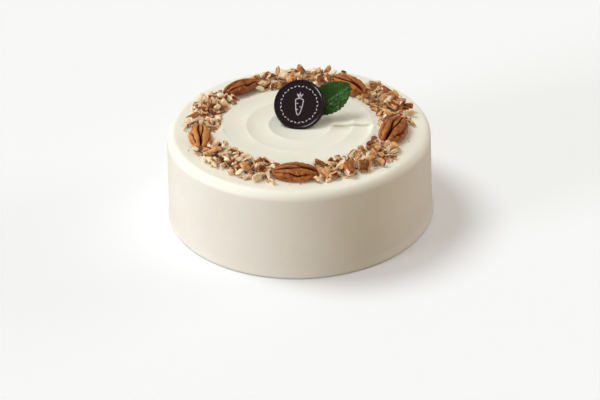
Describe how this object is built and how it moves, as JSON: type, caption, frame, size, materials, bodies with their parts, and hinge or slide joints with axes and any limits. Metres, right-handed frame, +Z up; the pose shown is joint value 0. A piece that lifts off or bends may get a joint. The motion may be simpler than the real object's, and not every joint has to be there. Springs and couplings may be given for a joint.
{
  "type": "carrot cake",
  "caption": "Round uncut carrot cake in smooth ivory icing, with swirled rings on top, a garland of chopped pecans and pecan halves, and a plain chocolate disc with a leaf.",
  "frame": {"origin": "centre of the flat underside, where the cake stands on its board or plate", "axes": "+Z up, -Y towards the front that the disc's face looks to, +X to the right seen from the front"},
  "size_m": [0.1848, 0.1848, 0.0893],
  "materials": {
    "icing": "satin ivory icing",
    "pecan": "satin brown nut skin",
    "chopped_pecan": "matt nut flesh and skin",
    "chocolate": "glossy dark chocolate",
    "leaf": "satin green leaf"
  },
  "bodies": {
    "root": {"frosted_cake": "icing", "pecan_half_1": "pecan", "pecan_half_2": "pecan", "pecan_half_3": "pecan", "pecan_half_4": "pecan", "pecan_half_5": "pecan", "chopped_pecans_1": "chopped_pecan", "chopped_pecans_2": "chopped_pecan", "chopped_pecans_3": "chopped_pecan", "chopped_pecans_4": "chopped_pecan", "chopped_pecans_5": "chopped_pecan", "chocolate_disc": "chocolate", "leaf": "leaf"}
  },
  "joints": []
}
